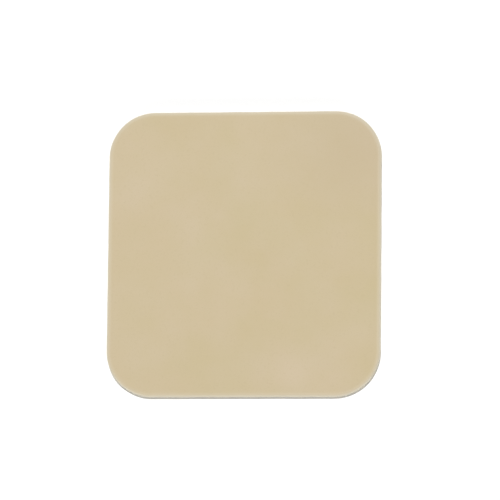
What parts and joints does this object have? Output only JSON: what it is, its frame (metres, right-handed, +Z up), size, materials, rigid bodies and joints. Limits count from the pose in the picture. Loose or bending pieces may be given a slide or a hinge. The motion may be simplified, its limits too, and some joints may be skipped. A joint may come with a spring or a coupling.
{
  "type": "hydrocolloid dressing",
  "caption": "Thin, soft, beige wafer with rounded corners and a flat adhesive underside, worn over a wound to seal it and keep it moist.",
  "frame": {"origin": "middle of the flat underside, the side that faces the wound", "axes": "+Z up through the thickness, out of the outer skin; +Y along the longer side; +X along the shorter side"},
  "size_m": [0.0954, 0.1, 0.002],
  "materials": {
    "beige_skin": "matte"
  },
  "bodies": {
    "root": {"hydrocolloid_wafer": "beige_skin"}
  },
  "joints": []
}
